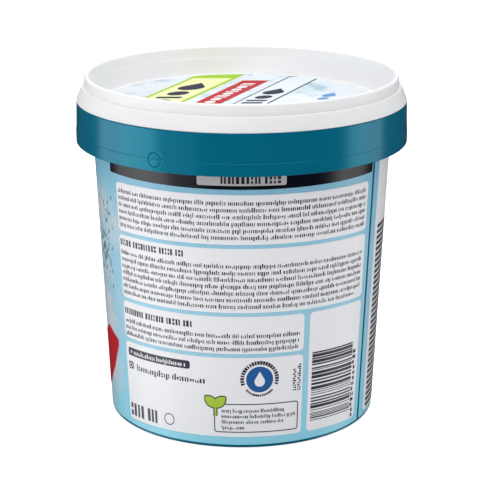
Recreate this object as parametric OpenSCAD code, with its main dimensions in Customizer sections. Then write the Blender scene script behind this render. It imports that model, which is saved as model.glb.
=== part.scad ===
// Round snap-lid tub for powder stain remover: an injection-moulded tub with a deep collar,
// a film label moulded into its wall, a snap lid with a recessed panel, the powder and a scoop.
// Millimetres, +Z up, base centre at the origin. Angles run from the front (-Y) towards +X.

/* [Tub] */
// Outer radius of the tub wall at the base
base_r = 54.1; // [52:0.1:55.5]
// Height of the collar's top ledge above the base
ledge_z = 128.7; // [118:0.1:150]
// Draft of the tub wall from the vertical, in degrees
draft = 2.765; // [2.2:0.005:3.2]
// Wall thickness of the tub
tub_t = 1.1; // [0.9:0.05:1.4]
// Thickness of the tub's floor
floor_t = 1.3; // [1:0.1:2]
// Height of the foot ring under the floor
foot_h = 1.4; // [1:0.1:2]
// Width of the foot ring
foot_w = 2.2; // [2:0.1:4]
// Rounding at the tub's heel
heel_r = 1.2; // [0.8:0.1:1.4]

/* [Collar and rim] */
// How far the collar's top ledge stands out from the tub wall
collar_reach = 5.7; // [5.4:0.1:9]
// Depth of the collar's skirt
collar_h = 16.25; // [12:0.05:22]
// How much wider the skirt is at its lower edge
collar_flare = 0.4; // [0:0.1:1]
// Thickness of the collar
collar_t = 1.2; // [1:0.1:1.5]
// Number of stiffening ribs inside the skirt
rib_count = 24; // [12:2:36]
// Thickness of a stiffening rib
rib_t = 0.9; // [0.6:0.1:1.5]
// How far the ribs stop above the skirt's lower edge
rib_stop = 4.5; // [2:0.5:7]
// Height of the rim above the ledge
rim_h = 4.3; // [3.8:0.1:4.3]
// Thickness of the rim's lip
lip_t = 1; // [0.8:0.05:1.1]
// Reach of the rim's snap bead
rim_bead = 0.9; // [0.6:0.05:1]
// Height of the witness line above the skirt's lower edge
witness_h = 4.95; // [2:0.05:9]
// Depth of the witness line and of the round marks
mark_depth = 0.18; // [0.1:0.02:0.3]
// Radius of the round mark where a handle could be moulded
mark_r = 2.95; // [2:0.05:3.6]
// Width of the round mark's groove
mark_w = 0.45; // [0.3:0.05:0.8]
// Height of the round mark's centre above the skirt's lower edge
mark_h = 4.65; // [4:0.05:7]
// Angle of the first round mark, the other is opposite
mark_angle = -29.1; // [-60:0.1:60]

/* [Lid] */
// Wall thickness of the lid
lid_t = 1.1; // [0.9:0.05:1.2]
// Height of the lid's skirt, from its seat to its shoulder
lid_skirt_h = 5.6; // [5.5:0.05:6.5]
// How far the lid's neck stands in from the collar's edge
neck_inset = 3.25; // [3:0.05:3.4]
// Height of the neck and crest above the shoulder
neck_h = 4.5; // [4:0.05:6]
// Width of the lid's crest
crest_w = 1.9; // [1.6:0.05:2]
// Depth of the recessed panel below the crest
recess_depth = 11.6; // [11:0.1:12.5]
// Height of the steep part of the recess wall
recess_step_h = 5.2; // [4.6:0.1:6]
// How far the recessed panel's edge stands in from the neck
panel_inset = 5.15; // [5.05:0.05:5.75]
// Clearance between the lid and the ledge it sits on
seat_gap = 0.1; // [0.05:0.05:0.2]
// Clearance between the lid's snap bead and the rim's bead
bead_gap = 0.12; // [0.08:0.02:0.2]
// Clearance between the lid's plug wall and the rim
plug_gap = 0.45; // [0.3:0.05:0.6]

/* [Label] */
// Thickness of the label film
film_t = 0.15; // [0.1:0.01:0.2]
// Thickness of one layer of print on the film
ink_t = 0.12; // [0.08:0.01:0.15]
// Clearance behind the film and behind each layer of print
film_fit = 0.02; // [0.01:0.01:0.05]
// Height of the film's lower edge above the base
film_z = 1.45; // [1.45:0.05:3]
// Width of the open seam where the film's ends meet
seam_w = 1.5; // [0.5:0.1:3]
// Angle of the seam
seam_angle = 60.1; // [59:0.1:62]
// How far the film disc's edge stands in from the panel's edge
disc_inset = 1.2; // [1.1:0.1:7]

/* [Print] */
// Left end of the text panels, in degrees
panel_left = -55.2; // [-58:0.1:-50]
// Right end of the wide text panels, in degrees
panel_right = 56.1; // [54:0.1:57]
// Right end of the narrow text panels, in degrees
narrow_right = 25.2; // [25:0.1:26]
// Height of the strip between one panel and the next
strip_h = 1.65; // [1:0.05:2]
// Height of the lowest panels' foot above the film's lower edge
panel_foot = 3.45; // [2:0.05:5]
// Height of the lowest text panel
low_panel_h = 33.25; // [32:0.05:36]
// Height of the contents panel
small_panel_h = 15.3; // [12:0.1:17]
// Height of the panel with the rules of use
rules_panel_h = 25.8; // [22:0.1:27]
// How far the dark band reaches below the skirt
band_drop = 6.1; // [4:0.1:8]
// Corner radius of the panels
panel_corner = 1.8; // [0.5:0.1:2.4]
// Number of bars in the bar panel
bar_count = 28; // [12:1:30]

/* [Contents] */
// Height of the free space between the powder and the collar's ledge
head_room = 37.7; // [36:0.1:60]
// Height of the powder's heap above its level at the wall
heap_h = 3; // [2:0.5:5]
// Clearance between the powder and the tub
powder_gap = 0.15; // [0.05:0.05:0.4]
// Radius of the scoop's cup at its mouth
cup_r = 17; // [14:0.5:18]
// Height of the scoop's cup
cup_h = 26; // [22:0.5:27]
// Wall thickness of the scoop
scoop_t = 1; // [0.8:0.1:1.2]
// Length of the scoop's handle
handle_l = 46; // [40:1:50]
// Width of the scoop's handle
handle_w = 13; // [10:0.5:16]
// Depth that the scoop's cup has settled into the powder
settle = 7; // [6:0.5:9]
// Clearance between the scoop and the powder around it
settle_gap = 0.3; // [0.2:0.05:0.5]

/* [Hidden] */
$fn = 96;

teal = [0.02, 0.38, 0.47];
sky = [0.55, 0.78, 0.87];
paper_white = [0.87, 0.88, 0.91];
navy = [0.06, 0.09, 0.17];
grey = [0.27, 0.28, 0.36];
red = [0.72, 0.11, 0.12];
blue = [0.12, 0.38, 0.64];
lime = [0.65, 0.78, 0.2];
lid_white = [0.93, 0.93, 0.93];
pale_sky = [0.85, 0.92, 0.95];
powder_white = [0.95, 0.95, 0.94];
scoop_blue = [0.35, 0.6, 0.75];

// wall of the tub
wall_slope = tan(draft);
function wall_r(z) = base_r + wall_slope * z;
function arc_deg(mm, z) = mm / wall_r(z) * 180 / PI;
function arc_points(cx, cy, r, a0, a1, n = 6) =
  [for (i = [0:n]) [cx + r * cos(a0 + (a1 - a0) * i / n), cy + r * sin(a0 + (a1 - a0) * i / n)]];
floor_z = foot_h + floor_t;
inner_heel = 2.4;

// collar
collar_r = wall_r(ledge_z) + collar_reach;
edge_round = 0.35;
skirt_z = ledge_z - collar_h;
skirt_r = collar_r + collar_flare;
skirt_slope = collar_flare / collar_h;
function skirt_out(z) = collar_r + skirt_slope * (ledge_z - z);
bend_z = ledge_z - collar_t;
rim_z = ledge_z + rim_h;

// lid
seat_z = ledge_z + seat_gap;
shoulder_z = seat_z + lid_skirt_h;
shoulder_round = 0.8;
neck_r = collar_r - neck_inset;
shoulder_r = neck_r + 1.25;
crest_z = shoulder_z + neck_h;
crest_in = neck_r - crest_w;
panel_r = neck_r - panel_inset;
panel_z = crest_z - recess_depth;
step_z = crest_z - recess_step_h;
step_r = crest_in - 0.8;
recess_slope = (step_r - panel_r) / (step_z - panel_z);
foot_band = 0.2;
lid_slope = (collar_r - shoulder_r + 0.05) / (shoulder_z - shoulder_round - seat_z);
function lid_out(z) = collar_r - lid_slope * (z - seat_z - foot_band);
function lid_in(z) = lid_out(z) - 1.08 * lid_t;

// lid's plug wall and the rim around it, parallel to each other
function plug_r(z) = panel_r + lid_t + recess_slope * (z - panel_z);
function rim_in(z) = plug_r(z) + plug_gap;
function rim_out(z) = rim_in(z) + lip_t;
bead_low = rim_z - 2;
bead_high = rim_z - 0.8;
bead_r = rim_out(bead_high) + rim_bead;

// label, from the film's foot upwards
film_top = skirt_z - 0.2;
low_z = film_z + panel_foot;
small_z = low_z + low_panel_h + strip_h;
rules_z = small_z + small_panel_h + strip_h;
intro_z = rules_z + rules_panel_h + strip_h;
band_z = skirt_z - band_drop;
band_gap = 2.1;
bar_panel_left = narrow_right + 2.6;
bar_panel_top = rules_z - strip_h;
side_panel_left = seam_angle + 4.9;
side_panel_right = 112;
side_panel_foot = 3;
band_top = film_top - 0.3;

// pennant, caption bar, note box and round marks, as places on the wall
pennant_a = -76;
pennant_z = low_z + 19.5;
pennant_size = 15;
pennant_corners = [
  [13.3, 10.8], [13.3, 8.2], [7.2, -2.7], [-3, -13.9], [-13.2, -13.9], [-13.3, 5.6], [2.8, 14]
];
caption_margin = 1.7;
caption_right = -21.1;
caption_rise = 27.5;
caption_h = 3.4;
box_left = -11.3;
box_right = 23.6;
box_rise = 1.8;
box_h = 12.2;
box_line = 0.4;
disc_mark_a = 7.2;
disc_mark_rise = 24.2;
disc_mark_r = 5.4;
sprout_a = -10.7;
sprout_rise = 13.1;
badge_half = 16.4;
badge_inset = 1;
band_over = 3.9;
seam_margin = 1.6;
side_panel_drop = 1;
bars_margin = 1.6;
bars_right_margin = 4.3;
bars_rise = 4.2;
bars_h = 29.3;

// stripes on the lid's film disc
disc_r = panel_r - disc_inset;
lime_x = -42;
lime_w = 20;
red_x = -17;
red_w = 11;
navy_x = -1;
navy_w = 14;

// powder and scoop
powder_z = ledge_z - head_room;
heap_r = wall_r(powder_z) - tub_t - powder_gap;
cup_foot_r = cup_r - 3;
scoop_tilt = 16;
scoop_x = -27;
scoop_y = 9;
scoop_turn = -24;

// thin shell standing on the tub wall, from angle a0 to a1 and from height z0 to z1
module wall_shell(a0, a1, z0, z1, out, t) {
  rotate([0, 0, a0 - 90])
    rotate_extrude(angle = a1 - a0)
      polygon([
        [wall_r(z0) + out, z0], [wall_r(z0) + out + t, z0],
        [wall_r(z1) + out + t, z1], [wall_r(z1) + out, z1]
      ]);
}

// moves its children to the tub wall at an angle and height, with their Z axis pointing outwards
module on_wall(a, z) {
  rotate([0, 0, a]) translate([0, -wall_r(z), z]) rotate([90, 0, 0]) children();
}

// what lies outside the rounding of a panel's lower left corner, in three short facets
module corner_waste(r) {
  reach = 3;
  spill = 0.2;
  run = r + spill / tan(15);
  near = r * (1 - cos(30));
  far = r * (1 - sin(30));
  translate([0, 0, -reach])
    linear_extrude(2 * reach)
      polygon([[-spill, -spill], [run, -spill], [far, near], [near, far], [-spill, run]]);
}

// one printed piece from angle a0 to a1 and from height z0 to z1, on the film or on another layer of print
module print_piece(a0, a1, z0, z1, layer = 0) {
  wall_shell(a0, a1, z0, z1, film_fit + layer * (ink_t + film_fit), ink_t);
}

// printed piece with rounded corners
module field(a0, a1, z0, z1, layer = 0, corner = panel_corner) {
  difference() {
    print_piece(a0, a1, z0, z1, layer);
    on_wall(a0, z0) corner_waste(corner);
    on_wall(a1, z0) mirror([1, 0, 0]) corner_waste(corner);
    on_wall(a0, z1) mirror([0, 1, 0]) corner_waste(corner);
    on_wall(a1, z1) rotate([0, 0, 180]) corner_waste(corner);
  }
}

// printed piece cut to a flat outline that reaches up to size from its middle
module stamp(a, z, size, layer = 0) {
  reach = 3;
  span = arc_deg(size, z);
  intersection() {
    print_piece(a - span, a + span, z - size, z + size, layer);
    on_wall(a, z) translate([0, 0, -reach]) linear_extrude(2 * reach) children();
  }
}

// rim's lip above the ledge, from its outer foot over its bead and down its inner face
rim_outline = [
  [rim_out(ledge_z) + 0.3, ledge_z], [rim_out(ledge_z + 0.4), ledge_z + 0.4],
  [rim_out(bead_low), bead_low], [bead_r - 0.1, bead_low + 0.7], [bead_r, bead_high],
  [rim_in(rim_z) + lip_t, rim_z], [rim_in(rim_z) + 0.25, rim_z],
  [rim_in(rim_z - 0.3), rim_z - 0.3], [rim_in(ledge_z), ledge_z]
];

module tub_outline() {
  heel_x = wall_r(heel_r) - heel_r;
  foot_in = wall_r(0) - foot_w;
  inner_side = wall_r(floor_z + inner_heel) - tub_t;
  polygon(concat(
    [[0, foot_h], [foot_in - 0.6, foot_h], [foot_in, 0.3], [foot_in + 0.3, 0]],
    arc_points(heel_x, heel_r, heel_r, -90, 0),
    [[wall_r(bend_z), bend_z], [skirt_out(bend_z) - collar_t, bend_z]],
    [[skirt_r - collar_t, skirt_z + edge_round], [skirt_r - collar_t + edge_round, skirt_z]],
    arc_points(skirt_r - edge_round, skirt_z + edge_round, edge_round, -90, 0, 3),
    arc_points(collar_r - edge_round, ledge_z - edge_round, edge_round, 0, 90, 3),
    rim_outline,
    [[wall_r(bend_z - 2) - tub_t, bend_z - 2]],
    arc_points(inner_side - inner_heel, floor_z + inner_heel, inner_heel, 0, -90, 4),
    [[0, floor_z]]
  ));
}

module skirt_rib() {
  top = bend_z + 0.3;
  low = skirt_z + rib_stop;
  rotate([90, 0, 0])
    translate([0, 0, -rib_t / 2])
      linear_extrude(rib_t)
        polygon([
          [wall_r(low) - tub_t / 2, low], [skirt_out(low) - collar_t / 2, low + 2],
          [skirt_out(top) - collar_t / 2, top], [wall_r(top) - tub_t / 2, top]
        ]);
}

// fine groove where the mould's collar ring meets the rest of the mould
module witness_line() {
  z = skirt_z + witness_h;
  spread = 1.4 * mark_depth;
  rotate_extrude()
    polygon([
      [skirt_out(z) - mark_depth, z], [skirt_out(z) + mark_depth, z - 2 * spread],
      [skirt_out(z) + mark_depth, z + 2 * spread]
    ]);
}

module round_mark(a) {
  z = skirt_z + mark_h;
  front = 2;
  depth = front + mark_depth + mark_r * mark_r / 2 / collar_r;
  rotate([0, 0, a])
    translate([0, -skirt_out(z) - front, z])
      rotate([-90, 0, 0])
        difference() {
          cylinder(r = mark_r, h = depth);
          translate([0, 0, -1]) cylinder(r = mark_r - mark_w, h = depth + 2);
        }
}

// shallow bed that the film lies in, flush with the wall, with the seam left standing
module film_bed() {
  half = arc_deg(seam_w / 2, ledge_z / 2);
  bed = film_t + film_fit;
  end = seam_angle + 360 - half;
  wall_shell(seam_angle + half, end, film_z - film_fit, film_top + film_fit, -bed, bed + 1);
}

// dimple that keeps the gate's stub clear of the table
module gate_dimple() {
  depth = 0.4;
  translate([0, 0, foot_h - 1]) cylinder(r = 4, h = 1 + depth);
}

module tub() {
  color(teal) difference() {
    union() {
      rotate_extrude() tub_outline();
      for (i = [0:rib_count - 1]) rotate([0, 0, (i + 0.5) * 360 / rib_count]) skirt_rib();
    }
    film_bed();
    witness_line();
    round_mark(mark_angle);
    round_mark(mark_angle + 180);
    gate_dimple();
  }
}

module wrap_label() {
  half = arc_deg(seam_w / 2 + film_fit, ledge_z / 2);
  color(sky) wall_shell(seam_angle + half, seam_angle + 360 - half, film_z, film_top, -film_t, film_t);
}

// pale panels, and the plain plate in the middle of the dark band
module label_panels() {
  color(paper_white) {
    field(panel_left, narrow_right, low_z, low_z + low_panel_h);
    field(panel_left, narrow_right, small_z, small_z + small_panel_h);
    field(panel_left, panel_right, rules_z, rules_z + rules_panel_h);
    field(panel_left, panel_right, intro_z, band_z - band_gap);
    field(bar_panel_left, panel_right, low_z, bar_panel_top);
    field(side_panel_left, side_panel_right, film_z + side_panel_foot, film_top - side_panel_drop);
    field(-badge_half, badge_half, band_z + badge_inset, band_top - badge_inset, 1, 0.8);
  }
}

module label_navy() {
  color(navy) print_piece(panel_left - band_over, seam_angle - seam_margin, band_z, band_top);
}

// bars of uneven thickness, a rounded caption bar and the outline of the note box
module label_grey() {
  bar_left = bar_panel_left + bars_margin;
  bar_right = panel_right - bars_right_margin;
  bars_z = low_z + bars_rise;
  pitch = bars_h / (bar_count - 0.5);
  caption_z = low_z + caption_rise;
  box_z = low_z + box_rise;
  side = arc_deg(box_line, box_z);
  color(grey) {
    for (i = [0:bar_count - 1]) {
      bar_t = pitch * (0.58 + 0.24 * sin(i * 137.5));
      print_piece(bar_left, bar_right, bars_z + i * pitch, bars_z + i * pitch + bar_t, 1);
    }
    field(panel_left + caption_margin, caption_right, caption_z, caption_z + caption_h, 1, 0.9);
    difference() {
      field(box_left, box_right, box_z, box_z + box_h, 1, 1.2);
      wall_shell(box_left + side, box_right - side, box_z + box_line, box_z + box_h - box_line, -1, 3);
    }
  }
}

// pennant that points towards the text panels
module label_red() {
  color(red)
    stamp(pennant_a, pennant_z, pennant_size) polygon(pennant_corners);
}

// round mark with a plain drop left open in it
module label_blue() {
  color(blue)
    stamp(disc_mark_a, low_z + disc_mark_rise, disc_mark_r, 1)
      difference() {
        circle(r = disc_mark_r, $fn = 48);
        translate([0, -0.9]) circle(r = 2.1, $fn = 32);
        polygon([[-1.95, -0.2], [1.95, -0.2], [0, 3.4]]);
      }
}

// sprout of two leaves on a stem, over the note box's corner
module label_lime() {
  leaf_r = 3.8;
  leaf_sink = 1.9;
  leaf_turn = 48;
  leaf_out = 2.2;
  stem_w = 0.8;
  color(lime)
    stamp(sprout_a, low_z + sprout_rise, 4.6, 2)
      union() {
        for (side = [-1, 1])
          rotate([0, 0, side * leaf_turn])
            translate([0, leaf_out])
              intersection() {
                translate([leaf_sink, 0]) circle(r = leaf_r, $fn = 40);
                translate([-leaf_sink, 0]) circle(r = leaf_r, $fn = 40);
              }
        translate([-stem_w / 2, -4.4]) square([stem_w, 5]);
      }
}

module lid_outline() {
  crest_r = crest_w / 2;
  channel_z = shoulder_z - lid_t;
  lock_low = bead_low - 1.4;
  lock_high = bead_low - 0.4;
  lock_r = bead_r + bead_gap;
  under_z = panel_z - lid_t;
  polygon(concat(
    [[0, under_z], [plug_r(under_z) - 1, under_z], [plug_r(under_z + 0.8), under_z + 0.8]],
    [[plug_r(channel_z - 0.3), channel_z - 0.3], [plug_r(channel_z) + 0.3, channel_z]],
    [[lid_in(channel_z) - 0.5, channel_z], [lid_in(channel_z - 0.5), channel_z - 0.5]],
    [[lid_in(lock_high + 1), lock_high + 1], [lock_r, lock_high], [lock_r, lock_low + 0.4]],
    [[lid_in(lock_low), lock_low], [lid_in(seat_z) + 0.2, seat_z]],
    [[collar_r - 0.15, seat_z], [collar_r, seat_z + foot_band]],
    arc_points(shoulder_r - shoulder_round, shoulder_z - shoulder_round, shoulder_round, 22, 80, 4),
    [[neck_r + 0.22, shoulder_z + 0.12], [neck_r, shoulder_z + 0.45]],
    arc_points(neck_r - crest_r, crest_z - crest_r, crest_r, 0, 180, 8),
    [[crest_in - 0.2, step_z + 0.3], [step_r, step_z], [panel_r + recess_slope * 0.6, panel_z + 0.6]],
    [[panel_r - 0.15, panel_z + 0.15], [panel_r - 0.6, panel_z], [0, panel_z]]
  ));
}

module lid() {
  color(lid_white) difference() {
    rotate_extrude() lid_outline();
    translate([0, 0, panel_z - film_t - film_fit]) cylinder(r = disc_r + film_fit, h = 1);
  }
}

// slanted stripe across the lid's film disc
module stripe_outline(x, w) {
  inset = 0.6;
  slant = 0.42;
  y = disc_r;
  intersection() {
    circle(r = disc_r - inset);
    polygon([[x - slant * y, -y], [x + w - slant * y, -y], [x + w + slant * y, y], [x + slant * y, y]]);
  }
}

module lid_film() {
  translate([0, 0, panel_z - film_t]) linear_extrude(film_t) children();
}

module lid_label() {
  color(pale_sky)
    lid_film()
      difference() {
        circle(r = disc_r);
        stripe_outline(lime_x, lime_w);
        stripe_outline(red_x, red_w);
        stripe_outline(navy_x, navy_w);
      }
}

module lid_lime() {
  color(lime) lid_film() stripe_outline(lime_x, lime_w);
}

module lid_red() {
  color(red) lid_film() stripe_outline(red_x, red_w);
}

module lid_navy() {
  color(navy) lid_film() stripe_outline(navy_x, navy_w);
}

// scoop's outer body in its own frame, grown all over by an allowance
// cup foot at the origin, handle along +X
module scoop_body(grow) {
  handle_t = 2;
  cylinder(r1 = cup_foot_r + grow, r2 = cup_r + grow, h = cup_h + grow);
  translate([cup_r - 3, -handle_w / 2 - grow, cup_h - handle_t - grow])
    cube([handle_l + 3 - handle_w / 2, handle_w + 2 * grow, handle_t + 2 * grow]);
  translate([cup_r + handle_l - handle_w / 2, 0, cup_h - handle_t - grow])
    cylinder(r = handle_w / 2 + grow, h = handle_t + 2 * grow);
}

module place_scoop() {
  translate([scoop_x, scoop_y, powder_z + heap_h - settle])
    rotate([0, 0, scoop_turn])
      rotate([0, scoop_tilt, 0])
        children();
}

module scoop() {
  rib_w = 1.2;
  color(scoop_blue)
    place_scoop()
      difference() {
        union() {
          scoop_body(0);
          translate([cup_r - 1, -rib_w / 2, cup_h - 5]) cube([handle_l - handle_w, rib_w, 4]);
        }
        translate([0, 0, scoop_t]) cylinder(r1 = cup_foot_r - scoop_t, r2 = cup_r - scoop_t, h = cup_h);
      }
}

module powder() {
  low = floor_z + powder_gap;
  corner = inner_heel - powder_gap;
  side = wall_r(floor_z + inner_heel) - tub_t - powder_gap;
  heap_steps = 6;
  color(powder_white)
    difference() {
      rotate_extrude()
        polygon(concat(
          [[0, low]],
          arc_points(side - corner, low + corner, corner, -90, 0, 4),
          [for (i = [0:heap_steps])
            let (share = 1 - i / heap_steps)
              [heap_r * share, powder_z + heap_h * (1 - share * share)]]
        ));
      place_scoop() translate([0, 0, -settle_gap]) scoop_body(settle_gap);
    }
}

tub();
wrap_label();
label_panels();
label_navy();
label_grey();
label_red();
label_blue();
label_lime();
lid();
lid_label();
lid_lime();
lid_red();
lid_navy();
powder();
scoop();
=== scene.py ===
import math
import random

import bpy
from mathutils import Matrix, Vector


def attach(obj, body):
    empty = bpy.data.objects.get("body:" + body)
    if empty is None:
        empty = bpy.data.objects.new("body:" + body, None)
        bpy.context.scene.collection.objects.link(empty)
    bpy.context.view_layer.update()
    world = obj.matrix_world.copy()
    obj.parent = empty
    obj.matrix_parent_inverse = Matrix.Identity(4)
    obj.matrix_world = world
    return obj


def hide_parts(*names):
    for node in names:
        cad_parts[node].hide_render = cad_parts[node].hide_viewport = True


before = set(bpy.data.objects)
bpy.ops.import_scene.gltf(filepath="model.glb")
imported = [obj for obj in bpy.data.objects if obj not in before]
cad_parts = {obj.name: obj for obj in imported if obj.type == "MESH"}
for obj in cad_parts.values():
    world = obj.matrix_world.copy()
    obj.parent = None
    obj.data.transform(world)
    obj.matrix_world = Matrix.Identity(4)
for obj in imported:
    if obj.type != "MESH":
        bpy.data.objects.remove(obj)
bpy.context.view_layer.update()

# Sizes are in millimetres and angles in degrees, from the front (-Y) towards +X.
MM = 0.001
SPIN_STEPS = 240

# Tub wall, collar and rim
BASE_R = 54.1
WALL_SLOPE = math.tan(math.radians(2.765))
LEDGE_Z = 128.7
TUB_T = 1.1
FOOT_H = 1.4
FLOOR_Z = 2.7
COLLAR_R = BASE_R + WALL_SLOPE * LEDGE_Z + 5.7
COLLAR_H = 16.25
COLLAR_FLARE = 0.4
COLLAR_T = 1.2
SKIRT_Z = LEDGE_Z - COLLAR_H
SKIRT_R = COLLAR_R + COLLAR_FLARE
RIM_Z = LEDGE_Z + 4.3
RIB_COUNT = 24

# Witness line round the skirt and the two round marks of blanked-off handle bosses
WITNESS_Z = SKIRT_Z + 4.95
WITNESS_STEP = 0.13
WITNESS_FADE = 4.2
MARK_ANGLE = -29.1
MARK_Z = SKIRT_Z + 4.65
MARK_R = 2.72
MARK_LOW = MARK_Z - 3.5
MARK_HIGH = MARK_Z + 3.5

# Lid
LID_T = 1.1
SEAT_Z = LEDGE_Z + 0.1
SHOULDER_Z = SEAT_Z + 5.6
NECK_R = COLLAR_R - 3.25
CREST_Z = SHOULDER_Z + 4.5
CREST_IN = NECK_R - 1.9
PANEL_Z = CREST_Z - 11.6
PANEL_R = NECK_R - 5.15
STEP_Z = CREST_Z - 5.2
STEP_R = CREST_IN - 0.8
RECESS_SLOPE = (STEP_R - PANEL_R) / (STEP_Z - PANEL_Z)
DISC_R = PANEL_R - 1.2
LID_SLANT = 0.42

# Label film and the layers of print on it
FILM_T = 0.15
FILM_FIT = 0.02
FILM_LOW = 1.45
FILM_TOP = SKIRT_Z - 0.2
SEAM_A = 60.1
SEAM_W = 1.5
PANEL_TOP = 0.14
INK_LOW = PANEL_TOP - 0.02
INK_TOP = 0.18
FIRST_LAYER = (-0.02, PANEL_TOP)
INK_LAYER = (INK_LOW, INK_TOP)
TOP_LAYER = (INK_TOP - 0.02, INK_TOP + 0.03)
FLAT_R = 57.0
LABEL_BOW = 1.0

# Places on the label
PANEL_LEFT = -55.2
PANEL_RIGHT = 56.1
NARROW_RIGHT = 25.2
LOW_Z = FILM_LOW + 3.45
SMALL_Z = LOW_Z + 34.9
RULES_Z = SMALL_Z + 16.95
INTRO_Z = RULES_Z + 27.45
BAND_Z = SKIRT_Z - 6.6
BAR_PANEL_LEFT = NARROW_RIGHT + 2.6
ROUND_SIGN_A = 7.2
ROUND_SIGN_Z = LOW_Z + 24.2
ROUND_SIGN_R = 5.4
SIDE_LEFT = SEAM_A + 4.9
SIDE_RIGHT = 112

# Powder and scoop
POWDER_Z = LEDGE_Z - 37.7
HEAP_H = 3.0
CUP_R = 17.0
CUP_FOOT_R = 14.0
CUP_H = 26.0
SCOOP_T = 1.0
HANDLE_L = 46.0
HANDLE_W = 13.0
SCOOP_PLACE = (-27, 9, POWDER_Z + HEAP_H - 7)
SCOOP_TILT = 16
SCOOP_TURN = -24

ink_rng = random.Random(11)


def wall_r(z):
    return BASE_R + WALL_SLOPE * z


def skirt_r(z):
    return COLLAR_R + COLLAR_FLARE / COLLAR_H * (LEDGE_Z - z)


def skirt_face(z):
    """the skirt's outer face, which stands a hair prouder below its witness line"""
    below = WITNESS_Z - z
    return skirt_r(z) + WITNESS_STEP * max(0, min(1, below / 0.12)) * max(0, 1 - below / WITNESS_FADE)


def plug_r(z):
    return PANEL_R + LID_T + RECESS_SLOPE * (z - PANEL_Z)


def rim_in(z):
    return plug_r(z) + 0.45


def lid_out(z):
    return COLLAR_R - (COLLAR_R - NECK_R - 1.2) / (SHOULDER_Z - SEAT_Z - 0.8) * (z - SEAT_Z - 0.2)


def lid_in(z):
    return lid_out(z) - 1.08 * LID_T


def arc(cx, cz, r, start, end, steps=8):
    """points along a round stretch of an outline, from one angle to another"""
    turns = [math.radians(start + (end - start) * i / steps) for i in range(steps + 1)]
    return [(cx + r * math.cos(t), cz + r * math.sin(t)) for t in turns]


# Modelling steps that many pieces share


def deselect():
    if bpy.context.object and bpy.context.object.mode != "OBJECT":
        bpy.ops.object.mode_set(mode="OBJECT")
    bpy.ops.object.select_all(action="DESELECT")


def pick(*pieces):
    deselect()
    for piece in pieces:
        piece.select_set(True)
    bpy.context.view_layer.objects.active = pieces[0]


def joined(name, pieces):
    """makes one piece of several"""
    pick(*pieces)
    if len(pieces) > 1:
        bpy.ops.object.join()
    pieces[0].name = name
    pieces[0].data.name = name
    return pieces[0]


def apply_modifier(piece, kind, **values):
    pick(piece)
    modifier = piece.modifiers.new(kind.lower(), kind)
    for key, value in values.items():
        setattr(modifier, key, value)
    bpy.ops.object.modifier_apply(modifier=modifier.name)
    return piece


def closed_up(piece, merge=0.002):
    """merges doubles and turns all faces outwards"""
    pick(piece)
    bpy.ops.object.mode_set(mode="EDIT")
    bpy.ops.mesh.select_all(action="SELECT")
    bpy.ops.mesh.remove_doubles(threshold=merge * MM)
    bpy.ops.mesh.normals_make_consistent(inside=False)
    bpy.ops.object.mode_set(mode="OBJECT")
    return piece


def smooth(piece, limit=35):
    pick(piece)
    bpy.ops.object.shade_smooth_by_angle(angle=math.radians(limit))
    return piece


def spun(name, outline, steps=SPIN_STEPS, start=0.0, sweep=360.0):
    """a piece turned round the Z axis from an outline of radius and height"""
    deselect()
    bpy.ops.mesh.primitive_plane_add(size=MM)
    piece = bpy.context.object
    piece.name = name
    bpy.ops.object.mode_set(mode="EDIT")
    bpy.ops.mesh.select_mode(type="VERT")
    bpy.ops.mesh.merge(type="CENTER")
    turn = math.radians(start - 90)
    places = [Vector((r * math.cos(turn), r * math.sin(turn), z)) * MM for r, z in outline]
    bpy.ops.transform.translate(value=places[0])
    for here, there in zip(places, places[1:]):
        bpy.ops.mesh.extrude_region_move(TRANSFORM_OT_translate={"value": there - here})
    bpy.ops.mesh.select_all(action="SELECT")
    bpy.ops.mesh.spin(steps=steps, angle=math.radians(sweep), center=(0, 0, 0), axis=(0, 0, -1))
    bpy.ops.object.mode_set(mode="OBJECT")
    return closed_up(piece)


def flat_outline(name, corners, low, high):
    """a flat print of any outline, lying in the XY plane between two heights"""
    deselect()
    bpy.ops.mesh.primitive_circle_add(vertices=len(corners), radius=MM, fill_type="NGON")
    piece = bpy.context.object
    piece.name = name
    for vertex, (x, y) in zip(piece.data.vertices, corners):
        vertex.co = (x * MM, y * MM, low * MM)
    bpy.ops.object.mode_set(mode="EDIT")
    bpy.ops.mesh.select_all(action="SELECT")
    bpy.ops.mesh.extrude_region_move(TRANSFORM_OT_translate={"value": (0, 0, (high - low) * MM)})
    bpy.ops.object.mode_set(mode="OBJECT")
    return closed_up(piece)


def sliced(piece, step=1.2):
    """cuts a flat print into narrow upright strips, so that it can follow the wall"""
    xs = [v.co.x for v in piece.data.vertices]
    low, high = min(xs), max(xs)
    count = int((high - low) / (step * MM))
    pick(piece)
    bpy.ops.object.mode_set(mode="EDIT")
    for i in range(1, count + 1):
        bpy.ops.mesh.select_all(action="SELECT")
        bpy.ops.mesh.bisect(plane_co=(low + (high - low) * i / (count + 1), 0, 0), plane_no=(1, 0, 0))
    bpy.ops.object.mode_set(mode="OBJECT")
    return piece


def along(angle):
    """distance along the wall, in the flat print, of an angle"""
    return math.radians(angle) * FLAT_R


def on_wall(piece, bow=LABEL_BOW):
    """wraps a flat print round the tub; its rows droop a little at the sides"""
    for vertex in piece.data.vertices:
        x, y, out = vertex.co
        turn = x / (FLAT_R * MM)
        y -= bow * MM * min(abs(turn) / math.radians(55), 1.1) ** 2
        r = wall_r(y / MM) * MM + out
        vertex.co = (r * math.sin(turn), -r * math.cos(turn), y)
    return closed_up(piece, merge=0.0005)


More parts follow.
